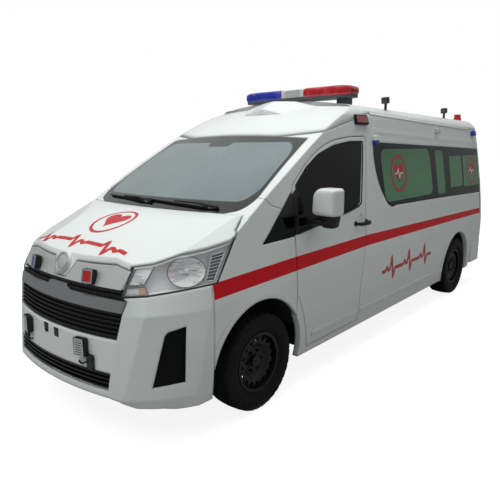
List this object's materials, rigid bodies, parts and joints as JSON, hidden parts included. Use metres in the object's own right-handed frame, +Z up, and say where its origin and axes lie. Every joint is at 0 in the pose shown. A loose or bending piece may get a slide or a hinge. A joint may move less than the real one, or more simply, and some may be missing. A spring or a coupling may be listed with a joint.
{
  "type": "ambulance",
  "caption": "High-roof panel van fitted out as an ambulance, with opening hood, front doors and tailgate, steered front wheels and a roof light bar.",
  "frame": {"origin": "middle of the van's box, on the ground", "axes": "+Z up, +X to the van's left, +Y to the rear, so the van faces -Y"},
  "size_m": [2.42, 5.9199, 2.4109],
  "materials": {
    "black": "moulded black plastic",
    "chrome": "bright plating",
    "cloth": "grey seat cloth",
    "dark_glass": "dark glass",
    "glass": "tinted glass",
    "grey": "grey interior plastic",
    "iron": "cast metal",
    "lens": "clear lens",
    "paint": "gloss white paint",
    "red": "red lens",
    "rim": "satin black steel wheel",
    "signal": "coloured lens",
    "silver": "silver paint",
    "steel": "bare and painted steel",
    "tyre": "black rubber"
  },
  "bodies": {
    "van": {"windshield": "glass", "cowl": "black", "roof": "paint", "body_side_left": "paint", "body_side_right": "paint", "sliding_door": "paint", "side_glass": "dark_glass", "quarter_glass": "dark_glass", "front_fenders": "paint", "front_bumper": "paint", "bumper_inserts": "black", "nose_panel": "silver", "grille_bar": "silver", "grille": "black", "headlamp_lenses": "lens", "headlamp_housings": "chrome", "front_lamps": "signal", "tail_lamps": "red", "rear_bumper": "paint", "floor_pan": "steel", "frame_rails": "steel", "tow_eyes": "iron", "firewall": "steel", "front_suspension": "iron", "rear_axle": "iron", "engine": "iron", "radiator": "iron", "fuel_tank_and_exhaust": "steel", "dashboard": "grey", "front_seats": "cloth", "bulkhead": "grey", "side_bench": "grey", "light_bar_lenses": "signal", "light_bar_base": "silver", "roof_lamps": "signal"},
    "hood": {"hood": "paint"},
    "door_left": {"door_left": "paint", "door_glass_left": "dark_glass", "door_fittings_left": "black"},
    "door_right": {"door_right": "paint", "door_glass_right": "dark_glass", "door_fittings_right": "black"},
    "tailgate": {"tailgate": "paint", "tailgate_glass": "dark_glass"},
    "steering_wheel": {"steering_wheel": "black"},
    "knuckle_left": {"knuckle_left": "iron"},
    "knuckle_right": {"knuckle_right": "iron"},
    "wheel_front_left": {"tyre_front_left": "tyre", "rim_front_left": "rim"},
    "wheel_front_right": {"tyre_front_right": "tyre", "rim_front_right": "rim"},
    "wheel_rear_left": {"tyre_rear_left": "tyre", "rim_rear_left": "rim"},
    "wheel_rear_right": {"tyre_rear_right": "tyre", "rim_rear_right": "rim"}
  },
  "joints": [
    {"name": "hood_hinge", "type": "hinge", "parent": "van", "child": "hood", "pos_m": [0, -1.9325, 1.425], "axis": [-1, 0, 0], "range_deg": [0, 50]},
    {"name": "door_left_hinge", "type": "hinge", "parent": "van", "child": "door_left", "pos_m": [0.972, -1.5055, 1], "axis": [0, 0, -1], "range_deg": [0, 65]},
    {"name": "door_right_hinge", "type": "hinge", "parent": "van", "child": "door_right", "pos_m": [-0.972, -1.5055, 1], "axis": [0, 0, 1], "range_deg": [0, 65]},
    {"name": "tailgate_hinge", "type": "hinge", "parent": "van", "child": "tailgate", "pos_m": [0, 2.8125, 2.075], "axis": [1, 0, 0], "range_deg": [0, 85]},
    {"name": "steering", "type": "hinge", "parent": "van", "child": "steering_wheel", "pos_m": [0.42, -1.1025, 1.165], "axis": [0, 0.7431, 0.6691], "range_deg": [-510, 510]},
    {"name": "knuckle_left_steer", "type": "hinge", "parent": "van", "child": "knuckle_left", "pos_m": [0.745, -1.9075, 0.205], "axis": [-0.2118, 0, 0.9773], "range_deg": [-30, 30]},
    {"name": "knuckle_right_steer", "type": "hinge", "parent": "van", "child": "knuckle_right", "pos_m": [-0.745, -1.9075, 0.205], "axis": [0.2118, 0, 0.9773], "range_deg": [-30, 30]},
    {"name": "wheel_front_left_spin", "type": "hinge", "parent": "knuckle_left", "child": "wheel_front_left", "pos_m": [0.8375, -1.9075, 0.356], "axis": [1, 0, 0], "continuous": true},
    {"name": "wheel_front_right_spin", "type": "hinge", "parent": "knuckle_right", "child": "wheel_front_right", "pos_m": [-0.8375, -1.9075, 0.356], "axis": [1, 0, 0], "continuous": true},
    {"name": "wheel_rear_left_spin", "type": "hinge", "parent": "van", "child": "wheel_rear_left", "pos_m": [0.835, 1.9525, 0.356], "axis": [1, 0, 0], "continuous": true},
    {"name": "wheel_rear_right_spin", "type": "hinge", "parent": "van", "child": "wheel_rear_right", "pos_m": [-0.835, 1.9525, 0.356], "axis": [1, 0, 0], "continuous": true}
  ],
  "couplings": [
    {"joint": "knuckle_left_steer", "follows": "steering", "ratio": 0.058824},
    {"joint": "knuckle_right_steer", "follows": "steering", "ratio": 0.058824}
  ]
}
